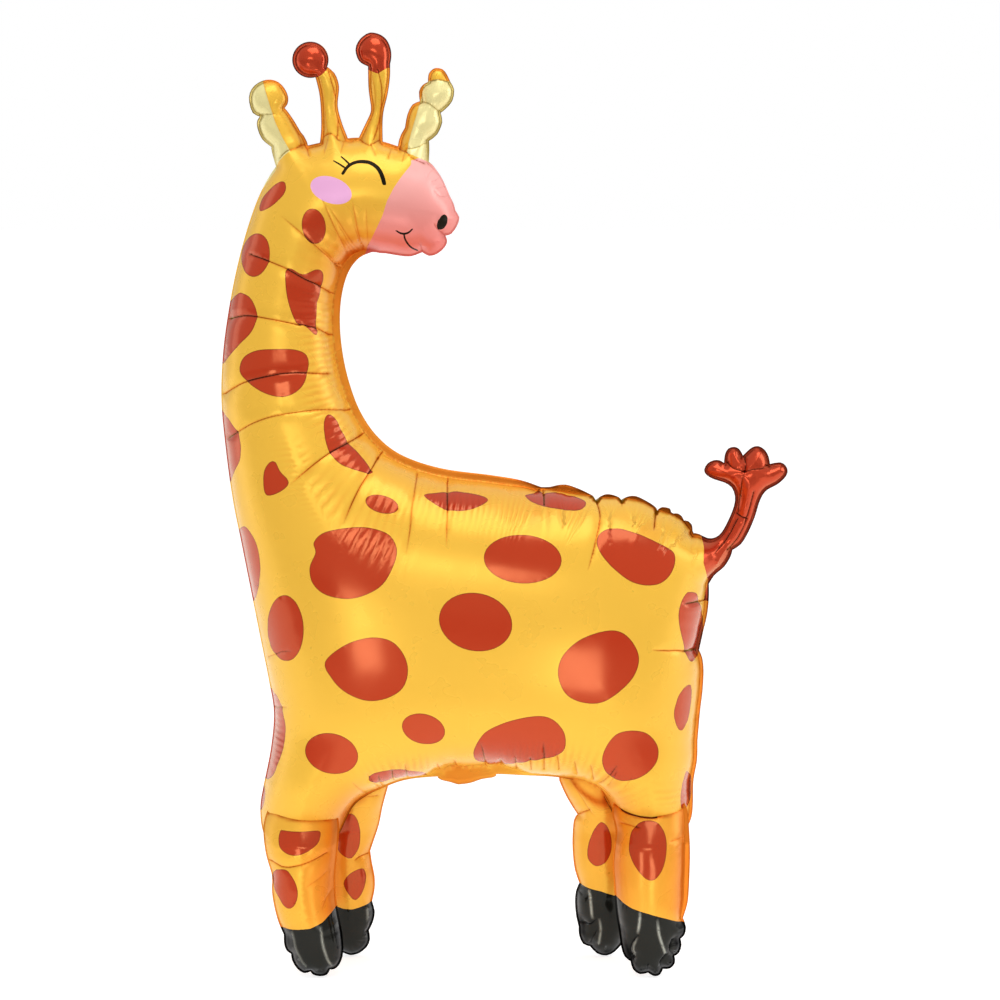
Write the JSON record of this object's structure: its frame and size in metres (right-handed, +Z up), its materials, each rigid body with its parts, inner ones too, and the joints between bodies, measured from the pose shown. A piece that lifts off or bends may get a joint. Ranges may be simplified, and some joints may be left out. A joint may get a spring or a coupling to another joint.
{
  "type": "giraffe foil balloon",
  "caption": "Standing blown foil balloon in the shape of a giraffe that looks back over its rump, with a welded edge and flat soles.",
  "frame": {"origin": "on the floor under the middle of the figure, in the plane of the weld", "axes": "+Z up; the neck and chest on the -X side, the rump and tail on the +X side; the weld lies in the plane Y = 0"},
  "size_m": [0.6141, 0.2304, 1.0195],
  "materials": {
    "printed_foil": "printed metallised film with a satin sheen"
  },
  "bodies": {
    "root": {"giraffe_foil_balloon": "printed_foil"}
  },
  "joints": []
}
